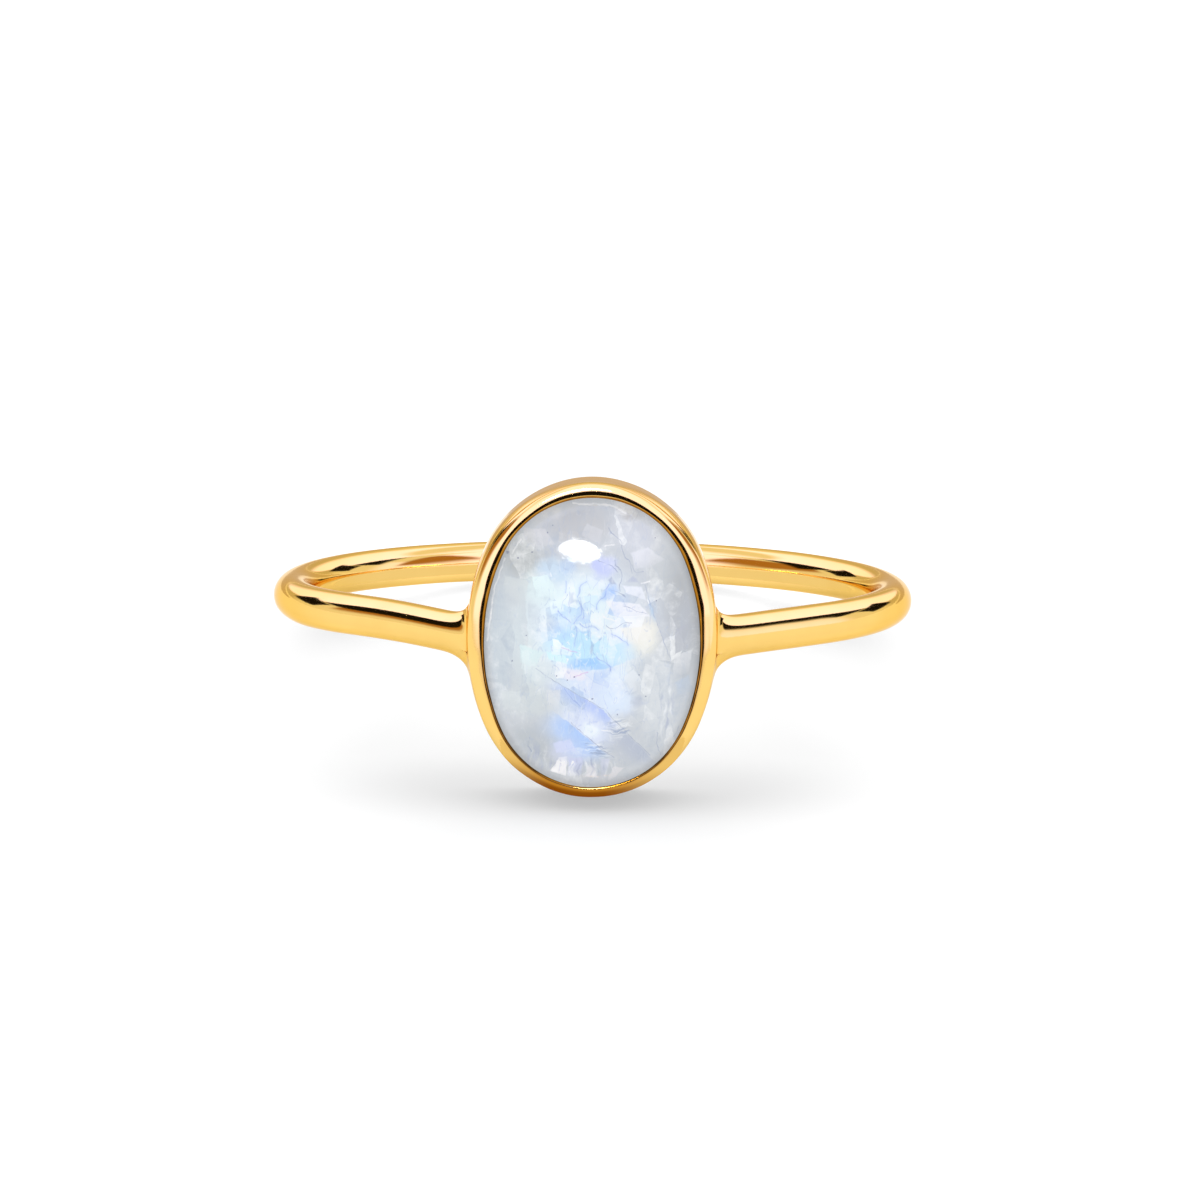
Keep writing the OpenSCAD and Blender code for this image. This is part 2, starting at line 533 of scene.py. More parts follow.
# The rim's face is an arc that slopes outward from a crest close to the stone. In the upper half
# the crest is rounded over; below it is filed, so the face starts sloping outward at once.
RIM_ARC = 0.3
RIM_CREST = 2.31
RIM_STEPS = 7
RIM_OUTER_SLOPE = math.radians(74)
RIM_FILED_SLOPE = math.radians(5)
RIM_ROUNDED_SLOPE = math.radians(-16)


def rim_face(turn):
    """The rim's front face where it faces turn, from the lip outward."""
    lip = lip_out(turn) + 0.005
    rim = rim_out(turn)
    first = RIM_FILED_SLOPE + (RIM_ROUNDED_SLOPE - RIM_FILED_SLOPE) * upper_share(turn)
    rise = math.sin(RIM_OUTER_SLOPE) - math.sin(first)
    face = []
    for step in range(RIM_STEPS):
        angle = first + (RIM_OUTER_SLOPE - first) * step / (RIM_STEPS - 1)
        share = (math.sin(angle) - math.sin(first)) / rise
        face.append((lip + share * (rim - lip), RIM_CREST - RIM_ARC * (1 - math.cos(angle))))
    return face


def cup_rows(turn):
    """Section of the setting where it faces turn, as (out, depth): from its seat, under the lip,
    over the rim, down the wall and on to the back plate."""
    lip = lip_out(turn)
    rim = rim_out(turn)
    wall = wall_out(turn)
    face = rim_face(turn)
    foot = face[-1][1]
    return [
        (-1.5, PLATE),
        (0.1, PLATE),
        (0.2, PLATE + 0.06),
        (0.2, 1.2),
        (0.2, 1.9),
        (lip + 0.04, 2.09),
        (lip, 2.12),
        (lip - 0.01, 2.2),
        *face,
        (rim - 0.04, foot - 0.06),
        (rim + 0.01, foot - 0.12),
        (max(wall, rim - 0.04) + 0.02, 1.5),
        (wall + 0.02, 1.04),
        (wall + 0.01, 0.58),
        (wall + 0.01, 0.14),
        (wall, 0.03),
        (wall - 0.1, -0.005),
        (-0.6, 0.0),
        (-2.0, 0.0),
    ]


# Rows of the section, counted from its seat
LIP_ROWS = (5, 6, 7)
FIRST_FACE_ROW = 8
CREASE_ROW = 15
SOLDER_TOP_ROW = 16
SOLDER_BOTTOM_ROW = 20


def shade_at(row, turn):
    """Painted shade in the gold: how deep it is under the lip and in the crease by the wall."""
    up = upper_share(turn)
    at_top = max(0.0, math.sin(turn)) ** 8
    at_bottom = max(0.0, -math.sin(turn)) ** 24
    deepest_shade = 1.0 - 0.3 * up - 0.3 * at_top - 0.4 * at_bottom
    if row in LIP_ROWS:
        return deepest_shade + 0.2 * up
    if row == FIRST_FACE_ROW:
        return deepest_shade * (1.0 - 0.6 * at_bottom)
    if row == FIRST_FACE_ROW + 1:
        return deepest_shade * (0.1 + 0.4 * up - 0.1 * at_bottom)
    if row == CREASE_ROW:
        corners = math.sin(2 * turn) ** 2 if math.sin(turn) > 0 else 0.0
        return 1.3 * corners + 0.55 * math.cos(turn) ** 8
    return 0.0


def build_cup(bm):
    """Makes the setting and gives its loops of vertices in order round the oval."""
    turns = [turn_at(column / COLUMNS) for column in range(COLUMNS)]
    sections = [cup_rows(turn) for turn in turns]
    column_of = bm.verts.layers.int.new("column")
    shade_of = bm.verts.layers.float.new("shade")
    loop, edges = loop_of(bm, COLUMNS)
    for column, vert in enumerate(loop):
        vert[column_of] = column
    first = edges
    rows = []
    for row in range(len(sections[0])):
        if row:
            loop, edges = extrude_loop(bm, edges)
        loop = sorted(loop, key=lambda vert: vert[column_of])
        for column, vert in enumerate(loop):
            out, depth = sections[column][row]
            vert.co = oval(turns[column], out) + Vector((0, 0, depth))
            vert[shade_of] = shade_at(row, turns[column])
        rows.append(loop)
    bmesh.ops.contextual_create(bm, geom=first)
    bmesh.ops.contextual_create(bm, geom=edges)
    bmesh.ops.transform(bm, matrix=TO_SETTING, verts=bm.verts)
    return rows


def open_wall(bm, rows, middle_column):
    """Cuts the place where the wire meets the wall and gives the edges round it."""
    half = SOLDER_COLUMNS // 2
    columns = [(middle_column + step) % COLUMNS for step in range(-half, half + 1)]
    solder_rows = rows[SOLDER_TOP_ROW:SOLDER_BOTTOM_ROW + 1]
    patch = {row[column] for row in solder_rows for column in columns}
    faces = [face for face in bm.faces if patch.issuperset(face.verts)]
    bmesh.ops.delete(bm, geom=faces, context="FACES")
    return [edge for edge in bm.edges if edge.is_boundary and patch.issuperset(edge.verts)]


# Loops between wall and wire: distance from the wall, how far the loop still leans with the
# wall, and the solder's extra height above and below the wire
SOLDER_LOOPS = [
    (0.10, 0.93, 0.30, 0.40),
    (0.24, 0.75, 0.12, 0.20),
    (0.42, 0.50, 0.03, 0.07),
    (0.68, 0.24, 0.0, 0.0),
]
ROUND_LOOP = (1.1, 0.0, 0.0, 0.0)

# The wire's straight stretch from where its bend ends to the wall, and the part of it that the
# solder leaves free
STRAIGHT_REACH = BAND_RADIUS * math.sin(SHOULDER_ANGLE) - HALF_WIDTH - WALL_OUT
STRAIGHT_LENGTH = STRAIGHT_REACH / math.cos(SHOULDER_ANGLE)
SHANK_LENGTH = STRAIGHT_LENGTH - ROUND_LOOP[0] / math.cos(SHOULDER_ANGLE)
SHANK_STEPS = 5

# Radius of a loop that smooths to the wire's radius
CONTROL_RADIUS = WIRE_RADIUS * 3 / (2 + math.cos(2 * math.pi / WIRE_SIDES))


def shank_way(side):
    """Direction in which the straight wire runs to the wall, on the right for a side of 1."""
    return Vector((-side * math.cos(SHOULDER_ANGLE), -math.sin(SHOULDER_ANGLE), 0))


def wire_loop(bm, side, from_wall, lean, over, under):
    """Loop of the wire at a distance from the wall, leaning part of the way to the wall's face."""
    inward = shank_way(side)
    outward = Vector((side * math.sin(SHOULDER_ANGLE), -math.cos(SHOULDER_ANGLE), 0))
    along = STRAIGHT_LENGTH - from_wall / math.cos(SHOULDER_ANGLE)
    centre = outward * BAND_RADIUS + inward * along
    verts, edges = loop_of(bm, WIRE_SIDES)
    for index, vert in enumerate(verts):
        angle = 2 * math.pi * index / WIRE_SIDES
        up = math.sin(angle)
        height = (CONTROL_RADIUS + (over if up > 0 else under) * abs(up)) * up
        across = outward * (CONTROL_RADIUS * math.cos(angle)) + Vector((0, 0, height))
        slide = -across.x / inward.x * lean
        vert.co = centre + across + inward * slide
    return edges


def solder_wire(bm, rows, side, column):
    """Joins the wire to one side of the wall and gives the edges at the wire's end."""
    edges = open_wall(bm, rows, column)
    joint = list(dict.fromkeys(vert for edge in edges for vert in edge.verts))
    for loop in SOLDER_LOOPS:
        new = wire_loop(bm, side, *loop)
        bmesh.ops.bridge_loops(bm, edges=edges + new)
        edges = new
    bmesh.ops.smooth_vert(
        bm, verts=joint, factor=0.35, use_axis_x=True, use_axis_y=True, use_axis_z=True)
    new = wire_loop(bm, side, *ROUND_LOOP)
    bmesh.ops.bridge_loops(bm, edges=edges + new)
    return new


def run_straight(bm, edges, way, steps):
    """Runs the wire straight on in even steps and gives its last vertices and edges."""
    for _ in range(steps):
        verts, edges = extrude_loop(bm, edges)
        bmesh.ops.translate(bm, verts=verts, vec=way * (SHANK_LENGTH / SHANK_STEPS))
    return verts, edges


def build_band(bm, rows):
    """Wire from one side of the setting round to the other, with solder at both ends."""
    edges = solder_wire(bm, rows, 1, 0)
    verts, edges = run_straight(bm, edges, -shank_way(1), SHANK_STEPS)
    far_end = solder_wire(bm, rows, -1, COLUMNS // 2)
    spun = bmesh.ops.spin(
        bm, geom=verts + edges, cent=(0, 0, 0), axis=(0, 0, 1),
        angle=2 * math.pi - 2 * SHOULDER_ANGLE, steps=BAND_STEPS, use_duplicate=False,
    )["geom_last"]
    edges = [part for part in spun if isinstance(part, bmesh.types.BMEdge)]
    _, edges = run_straight(bm, edges, shank_way(-1), SHANK_STEPS - 1)
    bmesh.ops.bridge_loops(bm, edges=edges + far_end)


# Without a seed the unevenness would differ each run
HAND_WORK_SEED = 1

# In the ring frame, everything in front of this is the rim
RIM_FRONT = -10.95

# The left shank bows up between these two places
BOW_START = -9.3
BOW_END = -3.65
BOW_HEIGHT = 0.11


def hand_work(bm):
    """The slight unevenness of a ring bent and filed by hand."""
    noise.seed_set(HAND_WORK_SEED)
    for vert in bm.verts:
        x, y, _ = vert.co
        if y < 0 and BOW_START < x < BOW_END:
            share = (x - BOW_START) / (BOW_END - BOW_START)
            vert.co.z += BOW_HEIGHT * math.sin(math.pi * share) ** 1.3 * min(1.0, -y / 4)
        if y < RIM_FRONT:
            vert.co += 0.011 * noise.noise_vector(vert.co * 2.2)
        vert.co += 0.006 * noise.noise_vector(vert.co * 0.9)


def polished_gold():
    """Bright gold plate with the faint haze and hairlines that polishing leaves."""
    material = bpy.data.materials.new("polished_gold")
    material.use_nodes = True
    make = Recipe(material.node_tree)
    place = make.node("ShaderNodeTexCoord", output="Object")
    grain = make.node("ShaderNodeMapping", None, {"Vector": place, "Scale": (1000, 1000, 1000)})
    haze = make.noise(grain, 0.7, 3.0)
    drawn_out = make.node("ShaderNodeMapping", None, {"Vector": grain, "Scale": (3, 3, 42)})
    hairs = make.noise(drawn_out, 1.0, 2.0)
    tone = make.blend(haze.rise(0.3, 0.7), GOLD, GOLD_HAZY)
    # Painted shade under the lip and in the crease, read from the shade attribute
    shade = make.node("ShaderNodeAttribute", {"attribute_name": "shade"}, output="Fac")
    patchy = make.noise(grain, 1.6, 2.0).rise(0.25, 0.6)
    painted_shade = shade * (0.75 + 0.25 * patchy)
    tone = make.blend(painted_shade.rise(0.0, 0.5), tone, GOLD_PAINTED_SHADE)
    tone = make.blend(painted_shade.rise(0.5, 1.0), tone, GOLD_PAINTED_DEEP_SHADE)
    height = hairs * shade.rise(0.3, 0.0)
    bump = make.node("ShaderNodeBump", None, {
        "Strength": 0.02, "Distance": 0.00002, "Height": height})
    shader = make.node("ShaderNodeBsdfPrincipled", None, {
        "Base Color": tone,
        "Metallic": 1.0,
        "Specular Tint": GOLD_GRAZING,
        "Roughness": 0.05 + haze * 0.05 + hairs.rise(0.6, 0.8) * 0.05,
        "Normal": bump,
    })
    make.node("ShaderNodeOutputMaterial", None, {"Surface": shader})
    return material


def make_band_and_bezel():
    """The band, the setting and their solder in one piece."""
    bm = bmesh.new()
    rows = build_cup(bm)
    build_band(bm, rows)
    hand_work(bm)
    finish_piece(bm, "gold_band_and_setting", "band_and_bezel", polished_gold(), 2)


def make_stone():
    """The cabochon: a flat back, a straight edge and a dome."""
    bm = bmesh.new()
    column_of = bm.verts.layers.int.new("column")
    loop, edges = loop_of(bm, STONE_COLUMNS)
    turns = [turn_at(column / STONE_COLUMNS) for column in range(STONE_COLUMNS)]
    rim = [oval(turn, STONE_OUT) for turn in turns]
    for column, vert in enumerate(loop):
        vert[column_of] = column
    first = edges
    shares = [(0.985, STONE_BACK), (1.0, STONE_BACK + 0.06), (1.0, 1.1), (1.0, None)]
    shares += [(math.cos(math.radians(step)), None) for step in range(4, 88, 4)]
    for step, (share, height) in enumerate(shares):
        if step:
            loop, edges = extrude_loop(bm, edges)
        for vert in loop:
            x, y, _ = rim[vert[column_of]] * share
            vert.co = (x, y, dome(x, y) if height is None else height)
    bmesh.ops.contextual_create(bm, geom=first)
    top = bmesh.ops.contextual_create(bm, geom=edges)["faces"]
    crown = bmesh.ops.poke(bm, faces=top)["verts"]
    for vert in crown:
        vert.co = (0, 0, dome(0, 0))
    bmesh.ops.transform(bm, matrix=TO_SETTING, verts=bm.verts)
    finish_piece(bm, "moonstone_cabochon", "moonstone", moonstone(), 0)


# The stone glows a little by itself, in place of light that spreads inside it. Lit and glowing,
# it looks this many times as bright as its own colour.
STONE_GLOW = 0.75
STONE_LIGHT = 1.56

# Middle of the plane in which the stone's marks are placed. Its z is 1, so the third number of a
# direction is simply added to how far a place lies along it.
MARKS_MIDDLE = (0, 0, 1)


def looks(red, green, blue):
    """The stone's own colour that looks like a screen colour, given in 0 to 255."""
    shares = [((value / 255 + 0.055) / 1.055) ** 2.4 for value in (red, green, blue)]
    return tuple(share / STONE_LIGHT for share in shares)


def on_stone(column, row):
    """Where the dome shows at a pixel of the photograph, moved along z into the marks' plane."""
    right, up, forward = camera_axes()
    reach = LENS / SENSOR * PIXELS
    seat = (FLOOR_FRAME @ TO_SETTING).inverted()
    eye = seat @ camera_place()
    aside = (column - PIXELS / 2) / reach
    above = (PIXELS / 2 - row) / reach
    ray = seat.to_3x3() @ (forward + right * aside + up * above)
    height = STONE_TOP
    for _ in range(8):
        point = eye + ray * ((height - eye.z) / ray.z)
        height = dome(point.x, point.y)
    return Vector((point.x, point.y, MARKS_MIDDLE[2]))


class StoneRecipe(Recipe):
    """Recipe for the stone, with its marks placed by the photograph's pixels."""

    def lay_out(self):
        """Makes the coordinates of the marks and the noises that several marks share."""
        place = self.node("ShaderNodeTexCoord", output="Object")
        back = (TO_FLOOR @ TO_SETTING).inverted()
        settle = self.node("ShaderNodeMapping", None, {
            "Vector": place, "Location": back.translation, "Rotation": back.to_euler(),
            "Scale": (1000, 1000, 1000)})
        self.flat = self.vector("MULTIPLY_ADD", settle, (1, 1, 0), MARKS_MIDDLE)

        # Cloudy growth bends every mark a little
        cloud = self.noise(self.flat, 1.1, 3.0, 0.55, output="Color")
        ripple = self.noise(self.flat, 5.0, 2.0, 0.5, output="Color")
        drift = self.vector("MULTIPLY_ADD", cloud, (0.5, 0.5, 0), (-0.25, -0.25, 0))
        shake = self.vector("MULTIPLY_ADD", ripple, (0.1, 0.1, 0), (-0.05, -0.05, 0))
        self.shaken = self.vector("ADD", self.flat, shake)
        self.bent = self.vector("ADD", self.shaken, drift)
        wander = self.noise(self.flat, 1.8, 0.5, 0.5, output="Color")
        swing = self.vector("MULTIPLY_ADD", wander, (0.5, 0.5, 0), (-0.25, -0.25, 0))
        self.crooked = self.vector("ADD", self.shaken, swing)
        self.patchy = self.noise(self.flat, 1.7, 2.0)
        self.fine = self.noise(self.flat, 4.0, 3.0, 0.6)
        self.middle = self.spot(self.flat, 590, 640, 2.6, 4.2)

    def spot(self, place, column, row, wide, tall, lean=0.0, core=0.0, top=1.0):
        """A soft patch, wide and tall in millimetres from its middle to its edge."""
        away = self.off_middle(place, on_stone(column, row), (wide, tall, 1), math.radians(lean))
        return away.rise(1.0, core, top)

    def lines(self, place, group):
        """Distance in millimetres from the nearest of some broken lines through pixels."""
        nearest = None
        for points in group:
            marks = [on_stone(*point) for point in points]
            for start, end in zip(marks, marks[1:]):
                span = end - start
                along = span / span.length_squared
                share = self.along(place, (along.x, along.y, -along.xy.dot(start.xy))).held()
                foot = self.vector("SCALE", span)
                foot.feed("Scale", share)
                inside = self.vector("SUBTRACT", place, start)
                away = self.vector("DISTANCE", inside, foot, output="Value")
                nearest = away if nearest is None else nearest.least(away)
        return nearest

    def below(self, place, points):
        """Distance in millimetres to the right of a line through pixels that bends to the right,
        which is below it where it runs from left to right."""
        least = None
        marks = [on_stone(*point) for point in points]
        for start, end in zip(marks, marks[1:]):
            down = (end - start).cross(Vector((0, 0, 1))).normalized()
            away = self.along(place, (down.x, down.y, -down.xy.dot(start.xy)))
            least = away if least is None else least.least(away)
        return least

    def facet(self, place, corners, soft, top):
        """An angular patch between corners, which are pixels in clockwise order. It fades away
        from the edge between its first two corners."""
        faded = self.below(place, corners[:2]).rise(0.9, 0.1, top)
        return self.below(place, [*corners, corners[0]]).rise(0.0, soft) * faded

    def stretched(self, place, along, across, lean):
        """Coordinates for a pattern, with its scale along and across a lean."""
        return self.node("ShaderNodeMapping", None, {
            "Vector": place, "Rotation": (0, 0, math.radians(lean)), "Scale": (along, across, 1)})

    def cells(self, turned):
        """Random value per angular cell, 0 to 1."""
        settings = {"voronoi_dimensions": "2D", "feature": "F1"}
        inputs = {"Vector": turned, "Scale": 1.0}
        colour = self.node("ShaderNodeTexVoronoi", settings, inputs, "Color")
        return self.node("ShaderNodeSeparateColor", None, {0: colour})

    def cell_edges(self, turned):
        """Distance from the edges of the same cells."""
        settings = {"voronoi_dimensions": "2D", "feature": "DISTANCE_TO_EDGE"}
        inputs = {"Vector": turned, "Scale": 1.0}
        return self.node("ShaderNodeTexVoronoi", settings, inputs, "Distance")

    def wisps(self, place, scale, stretch, lean, thin):
        """Thin wandering lines, drawn out across the lean."""
        turned = self.stretched(place, scale, scale * stretch, lean)
        return (self.noise(turned, 1.0, 1.0) - 0.5).size().rise(thin, 0.0)


# Soft patches deep in the stone: pixel, half the width and height in mm, lean, colour, strength
PATCHES = [
    ((575, 524), (1.6, 0.8), 0, (196, 197, 199), 0.9),
    ((640, 535), (1.3, 0.9), -30, (214, 217, 226), 0.6),
    ((549, 508), (0.7, 0.45), 20, (216, 216, 217), 0.8),
    ((630, 508), (0.6, 0.4), -20, (190, 188, 187), 0.8),
    ((520, 556), (1.3, 1.0), 0, (184, 189, 191), 0.9),
    ((500, 640), (0.6, 3.2), 0, (201, 211, 219), 0.8),
    ((535, 640), (1.0, 2.6), 0, (219, 231, 236), 0.8),
    ((687, 610), (1.0, 2.8), 0, (184, 188, 193), 1.0),
    ((590, 660), (1.5, 3.5), -4, (220, 236, 250), 0.9),
    ((594, 635), (2.2, 2.6), 0, (231, 241, 250), 0.9),
    ((575, 602), (1.5, 1.2), 0, (232, 248, 253), 0.9),
    ((540, 590), (0.8, 0.7), 0, (224, 240, 242), 0.7),
    ((556, 570), (0.8, 0.5), 0, (204, 225, 243), 0.8),
    ((568, 566), (0.4, 0.3), 20, (190, 211, 240), 0.5),
    ((603, 568), (0.6, 0.45), -30, (202, 210, 250), 0.7),
    ((610, 594), (0.36, 0.24), 30, (172, 203, 251), 0.9),
    ((567, 612), (0.7, 0.4), 0, (208, 234, 253), 0.8),
    ((652, 608), (0.16, 0.5), 15, (176, 205, 234), 0.6),
    ((645, 636), (0.75, 0.8), 0, (239, 238, 229), 0.9),
    ((600, 690), (1.7, 0.9), -30, (216, 228, 251), 0.9),
    ((616, 700), (0.8, 0.6), 0, (224, 238, 254), 0.6),
    ((572, 674), (0.5, 0.22), 0, (240, 236, 247), 0.9),
    ((530, 700), (1.0, 0.8), 0, (209, 216, 219), 0.7),
    ((655, 700), (0.9, 1.6), 0, (216, 221, 226), 0.8),
    ((638, 702), (0.3, 0.3), 0, (190, 197, 214), 0.5),
    ((585, 728), (1.3, 1.0), -35, (222, 231, 252), 0.9),
    ((590, 731), (0.45, 0.3), 0, (240, 249, 255), 0.9),
    ((530, 745), (1.1, 0.9), 0, (188, 194, 200), 0.8),
    ((570, 752), (0.9, 0.5), 0, (212, 219, 243), 0.8),
    ((600, 782), (2.0, 0.35), 0, (198, 201, 207), 0.8),
]

# Angular patches: corners, softness of the edge in mm, colour, strength
FACETS = [
    ([(674, 655), (675, 628), (699, 619), (698, 646)], 0.05, (182, 186, 195), 0.9),
    ([(674, 656), (693, 648), (690, 672), (672, 680)], 0.04, (219, 222, 227), 0.7),
    ([(674, 681), (690, 673), (694, 692), (676, 698)], 0.1, (190, 201, 215), 0.8),
    ([(650, 655), (672, 664), (668, 690), (652, 684)], 0.06, (224, 228, 232), 0.6),
    ([(630, 552), (648, 546), (666, 560), (650, 568), (634, 570)], 0.06, (228, 230, 238), 0.8),
    ([(589, 569), (592, 556), (608, 560), (614, 576), (606, 579)], 0.15, (197, 206, 252), 0.6),
    ([(607, 580), (612, 575), (618, 586), (610, 586)], 0.06, (172, 184, 210), 0.8),
    ([(624, 583), (634, 574), (641, 584)], 0.08, (188, 195, 214), 0.8),
    ([(566, 776), (550, 771), (559, 757), (568, 756)], 0.03, (254, 253, 255), 1.0),
    ([(568, 757), (584, 757), (582, 776), (567, 777)], 0.05, (206, 212, 240), 0.8),
    ([(599, 779), (584, 778), (586, 764), (596, 763)], 0.08, (240, 238, 242), 0.7),
    ([(600, 758), (611, 758), (606, 778), (600, 779)], 0.05, (208, 213, 230), 0.8),
    ([(613, 766), (626, 767), (610, 782), (606, 780)], 0.05, (230, 229, 233), 0.7),
    ([(519, 642), (545, 652), (536, 668), (519, 664)], 0.08, (218, 238, 241), 0.8),
    ([(545, 650), (566, 655), (570, 665), (548, 660)], 0.06, (214, 245, 252), 0.9),
    ([(552, 638), (559, 640), (568, 650), (553, 649)], 0.04, (245, 254, 255), 1.0),
    ([(522, 527), (545, 528), (557, 545), (535, 549), (524, 540)], 0.05, (214, 215, 219), 0.8),
    ([(560, 516), (586, 508), (578, 535), (562, 540)], 0.06, (190, 192, 196), 0.6),
    ([(587, 522), (604, 530), (600, 545), (580, 535)], 0.05, (211, 213, 218), 0.7),
    ([(503, 574), (530, 580), (527, 601), (505, 601)], 0.06, (213, 220, 223), 0.7),
    ([(531, 576), (548, 574), (561, 597), (536, 598)], 0.05, (229, 246, 248), 0.9),
    ([(604, 599), (640, 603), (652, 617), (615, 618)], 0.05, (243, 244, 250), 0.8),
    ([(606, 585), (599, 591), (586, 583), (588, 574)], 0.05, (232, 243, 254), 0.8),
    ([(620, 584), (642, 586), (648, 602), (626, 594)], 0.06, (238, 242, 251), 0.8),
    ([(573, 624), (590, 622), (603, 631), (580, 632)], 0.05, (236, 248, 255), 0.8),
    ([(604, 634), (622, 626), (630, 640), (610, 648)], 0.06, (240, 246, 253), 0.7),
    ([(601, 664), (573, 669), (574, 658), (598, 656)], 0.06, (164, 207, 254), 0.8),
    ([(521, 650), (530, 649), (532, 671), (521, 670)], 0.05, (226, 240, 243), 0.8),
    ([(550, 645), (570, 647), (574, 656), (551, 656)], 0.06, (236, 248, 254), 0.8),
    ([(603, 678), (622, 664), (630, 676), (614, 692)], 0.06, (228, 240, 254), 0.7),
    ([(552, 742), (571, 738), (578, 752), (556, 754)], 0.06, (216, 222, 250), 0.7),
    ([(548, 602), (562, 599), (566, 612), (551, 615)], 0.05, (236, 250, 254), 0.8),
    ([(583, 596), (598, 594), (602, 612), (588, 616)], 0.05, (218, 240, 255), 0.8),
    ([(618, 627), (650, 624), (654, 642), (628, 646)], 0.08, (243, 242, 236), 0.8),
    ([(500, 690), (522, 690), (520, 712), (503, 710)], 0.07, (216, 223, 226), 0.7),
    ([(545, 690), (562, 688), (560, 718), (548, 716)], 0.07, (226, 229, 233), 0.7),
    ([(622, 676), (634, 668), (650, 690), (636, 700)], 0.06, (230, 236, 243), 0.8),
]

# Cracks: pixels along them
BLUE_CRACKS = [
    [(586, 582), (577, 596), (581, 610), (575, 621)],
    [(580, 597), (583, 619)],
    [(566, 582), (563, 594)],
    [(557, 612), (571, 621)],
    [(609, 582), (603, 596), (598, 607)],
    [(577, 624), (576, 643)],
    [(596, 655), (609, 668), (609, 673)],
    [(565, 689), (579, 702)],
    [(583, 622), (598, 632)],
    [(612, 632), (626, 648)],
]
GREY_CRACKS = [
    [(612, 590), (628, 597)],
    [(565, 596), (563, 611)],
    [(611, 531), (624, 553), (631, 573)],
    [(630, 566), (635, 571), (644, 569)],
    [(616, 560), (624, 593)],
    [(608, 625), (628, 622)],
    [(624, 607), (646, 614)],
    [(655, 732), (655, 742), (660, 756)],
    [(675, 738), (683, 722)],
    [(530, 735), (530, 751)],
]
STRAIGHT_CRACKS = [
    [(536, 669), (566, 688), (605, 710), (632, 738), (650, 755)],
    [(571, 723), (592, 741), (614, 758)],
    [(645, 585), (655, 618), (671, 661)],
    [(598, 560), (612, 566), (618, 572)],
    [(573, 540), (580, 546)],
]
# Pale cracks, and painted reflections of the rim along the left edge and under the rim's top
PALE_CRACKS_AND_REFLECTIONS = [
    [(505, 558), (494, 590), (487, 640)],
    [(521, 539), (512, 553)],
    [(573, 503), (610, 505), (626, 513)],
    [(605, 546), (614, 545)],
    [(603, 617), (616, 621)],
    [(641, 583), (650, 581)],
    [(602, 730), (613, 731)],
]

PINK_LINES = [
    [(562, 648), (577, 653)],
    [(574, 677), (588, 672)],
]

# Dark specks: pixel and radius in mm
SPECKS = [
    ((507, 552), 0.065), ((548, 533), 0.035), ((532, 552), 0.03), ((518, 558), 0.035),
    ((553, 525), 0.03), ((655, 538), 0.03), ((617, 715), 0.035), ((639, 675), 0.035),
    ((574, 677), 0.04), ((567, 680), 0.035), ((556, 676), 0.03), ((646, 697), 0.03),
    ((592, 699), 0.04), ((656, 601), 0.03), ((526, 635), 0.03), ((512, 661), 0.035),
]

# Where the blue sheen ends: pixels from right to left
SHEEN_END = [(630, 661), (606, 670), (585, 672), (560, 667), (527, 659)]

# Planes that cross the stone's depth: pixels along them with the dimmer side to the right of the
# way they run, how wide the dim side is in mm, its colour, the middle of the part that shows,
# half the width and height of that part in mm, and its strength
EDGE_PLANE = [(671, 705), (673, 650), (680, 617), (679, 555)]
LONG_PLANE = [(530, 667), (552, 679), (605, 710), (632, 738), (662, 765)]
PLANES = [
    ([(672, 664), (655, 618), (643, 580)], 0.45, (196, 202, 211), (659, 618), (0.6, 1.6), 0.8),
    (EDGE_PLANE, 0.45, (182, 188, 197), (677, 650), (0.6, 1.6), 0.8),
    ([(540, 560), (529, 640), (536, 720)], 0.5, (203, 211, 217), (525, 640), (0.8, 2.6), 0.6),
    (LONG_PLANE, 0.6, (180, 199, 249), (586, 706), (1.8, 1.2), 0.9),
    (LONG_PLANE, 1.0, (184, 192, 209), (638, 746), (1.5, 0.9), 0.9),
    ([(548, 706), (575, 727), (620, 763)], 1.2, (180, 208, 252), (576, 738), (1.5, 1.2), 1.0),
]

# Wisps: scale, scale across the lean as a share of it, lean, and where in the clouds they show
WISPS = [
    (1.9, 0.22, 14, 0.42),
    (2.3, 0.2, -52, 0.52),
    (2.0, 0.25, 75, 0.47),
]


def deep_colour(make):
    """The milky body and its soft patches."""
    tone = looks(203, 208, 214)
    for (column, row), (wide, tall), lean, colour, strength in PATCHES:
        patch = make.spot(make.bent, column, row, wide, tall, lean, 0.3, strength)
        tone = make.blend(patch, tone, looks(*colour))
    return tone


def add_sheen(make, tone):
    """Blue sheen over the middle, which ends along a curved plane."""
    sheen = make.below(make.shaken, SHEEN_END).rise(0.0, 0.06)
    patch = make.spot(make.bent, 585, 648, 1.75, 0.85, -8, 0.4, 0.9)
    tone = make.blend(sheen * patch, tone, looks(196, 234, 255))
    patch = make.spot(make.bent, 560, 633, 0.7, 0.35, 10, 0.0, 0.4)
    tone = make.blend(patch, tone, looks(180, 216, 253))
    patch = make.spot(make.bent, 590, 666, 1.3, 0.3, 0, 0.0, 0.8)
    return make.blend(sheen * patch, tone, looks(166, 208, 253))


def add_planes(make, tone):
    """Dim veils beside the planes that cross the stone's depth."""
    for points, width, colour, (column, row), (wide, tall), strength in PLANES:
        away = make.below(make.shaken, points)
        veil = away.rise(0.0, 0.04) * away.rise(width, 0.0)
        veil = veil * make.spot(make.flat, column, row, wide, tall, 0, 0.3, strength)
        tone = make.blend(veil, tone, looks(*colour))
    return tone


